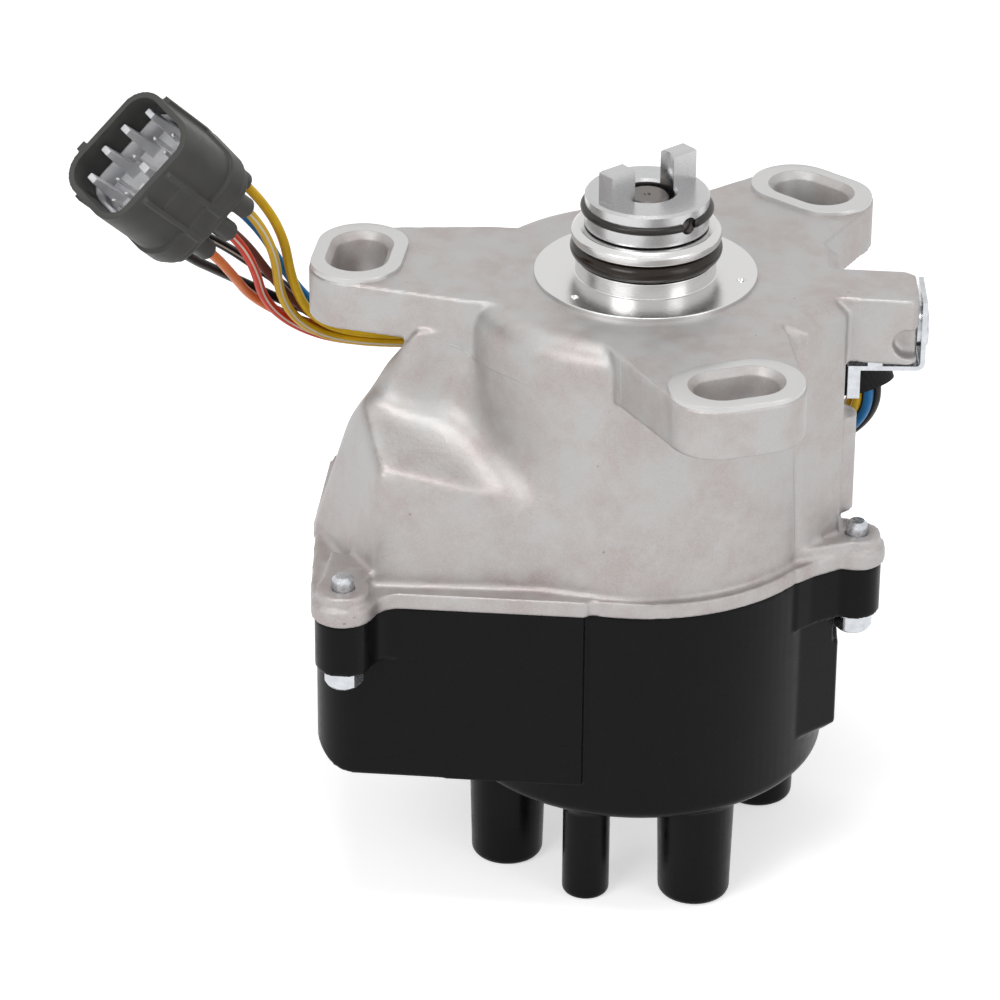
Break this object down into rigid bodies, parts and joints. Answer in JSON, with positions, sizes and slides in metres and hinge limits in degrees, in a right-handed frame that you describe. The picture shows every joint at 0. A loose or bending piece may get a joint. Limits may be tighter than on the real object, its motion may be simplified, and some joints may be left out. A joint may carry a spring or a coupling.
{
  "type": "ignition distributor",
  "caption": "Cast distributor housing with slotted mounting ears, a dog-drive coupling, a black cap with lead towers, and a wire harness ending in a grey connector.",
  "frame": {"origin": "on the shaft's axis, in the plane of the machined mounting faces", "axes": "+Z along the shaft, out of the drive end; +X towards the bracket lug; the cap's towers point to -Z"},
  "size_m": [0.1959, 0.1295, 0.1921],
  "materials": {
    "cast": "sand-blasted casting",
    "machined": "machined",
    "zinc_steel": "zinc plated",
    "ground_steel": "ground",
    "sintered": "machined steel",
    "lamination": "iron laminations",
    "black_steel": "blackened spring steel",
    "bronze": "sintered bronze",
    "brass": "bare brass",
    "black_plastic": "moulded",
    "rotor_plastic": "moulded",
    "resin": "potting resin",
    "grey_plastic": "moulded",
    "insert_plastic": "moulded",
    "rubber": "rubber",
    "carbon": "pressed carbon",
    "tin": "tinned",
    "sleeve": "woven sleeve",
    "wire_yellow": "insulation",
    "wire_blue": "insulation",
    "wire_red": "insulation",
    "wire_orange": "insulation",
    "wire_black": "insulation",
    "wire_brown": "insulation"
  },
  "bodies": {
    "housing_body": {"housing": "cast", "spigot_o_ring": "rubber", "shaft_oil_seal": "rubber", "nose_bush": "bronze", "bearing_outer_ring": "ground_steel", "bearing_retainer": "zinc_steel", "retainer_screws": "zinc_steel", "sensor_plate": "zinc_steel", "sensor_plate_screws": "zinc_steel", "leak_cover": "black_plastic", "leak_cover_screws": "zinc_steel", "coil_core": "lamination", "coil_body": "resin", "coil_contact": "brass", "coil_screws": "zinc_steel", "coil_terminals": "tin", "module_plate": "machined", "ignition_module": "resin", "module_screws": "zinc_steel", "distributor_cap": "black_plastic", "cap_contact_strip": "brass", "cap_electrodes": "machined", "brush_spring": "ground_steel", "cap_screws": "zinc_steel", "connector_bracket": "zinc_steel", "bracket_spacer": "zinc_steel", "bracket_screw": "zinc_steel", "tdc_pickup": "resin", "crank_pickup": "resin", "cylinder_pickup": "resin", "cap_seal": "rubber", "wire_grommet": "rubber", "harness_sleeve": "sleeve", "connector_shell": "grey_plastic", "connector_insert": "insert_plastic", "connector_terminals": "tin", "wire_1": "wire_yellow", "wire_2": "wire_yellow", "wire_3": "wire_red", "wire_4": "wire_orange", "wire_5": "wire_black", "wire_6": "wire_black", "wire_7": "wire_blue", "wire_8": "wire_brown"},
    "shaft": {"drive_shaft": "ground_steel", "bearing_inner_ring": "ground_steel", "tdc_wheel": "sintered", "crank_wheel": "sintered", "cylinder_wheel": "sintered", "wheel_spacers": "ground_steel", "wheel_clip": "ground_steel", "rotor": "rotor_plastic", "rotor_screw": "zinc_steel", "rotor_blade": "brass", "coupling_pin": "ground_steel"},
    "cage": {"bearing_cage": "ground_steel", "bearing_balls": "ground_steel"},
    "coupling": {"coupling": "sintered", "coupling_ring": "black_steel"},
    "brush": {"carbon_brush": "carbon"}
  },
  "joints": [
    {"name": "shaft_spin", "type": "hinge", "parent": "housing_body", "child": "shaft", "pos_m": [0, 0, 0], "axis": [0, 0, 1], "continuous": true},
    {"name": "cage_spin", "type": "hinge", "parent": "housing_body", "child": "cage", "pos_m": [0, 0, -0.014], "axis": [0, 0, 1], "continuous": true},
    {"name": "coupling_float", "type": "slide", "parent": "shaft", "child": "coupling", "axis": [-0.6428, 0.766, 0], "range_m": [-0.0006, 0.0006]},
    {"name": "brush_press", "type": "slide", "parent": "housing_body", "child": "brush", "axis": [0, 0, -1], "range_m": [0, 0.0015], "stiffness_N_per_m": 100, "springref_m": -0.003, "deforming": ["brush_spring"]}
  ],
  "couplings": [
    {"joint": "cage_spin", "follows": "shaft_spin", "ratio": 0.381}
  ]
}
